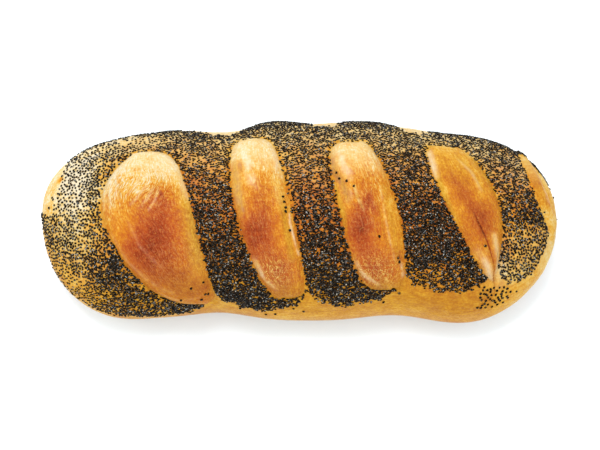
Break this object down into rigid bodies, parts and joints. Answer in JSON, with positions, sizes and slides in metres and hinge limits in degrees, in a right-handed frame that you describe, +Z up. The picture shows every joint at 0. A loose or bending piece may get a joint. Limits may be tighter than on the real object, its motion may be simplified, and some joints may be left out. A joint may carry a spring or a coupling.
{
  "type": "poppy seed loaf",
  "caption": "Long rounded white loaf, its seeded crown opened by slanted cuts, lying on a flat base.",
  "frame": {"origin": "middle of the flat base, under the middle of the loaf's outline", "axes": "+X along the loaf, -Y towards the front that shows the broad bare band of crust, +Z up through the crown"},
  "size_m": [0.265, 0.1036, 0.0703],
  "materials": {
    "crust": "egg-washed golden crust with a satin gloss, red-brown on the cuts, pale cream to gold at the sides, dark poppy seeds between the cuts"
  },
  "bodies": {
    "root": {"loaf": "crust"}
  },
  "joints": []
}
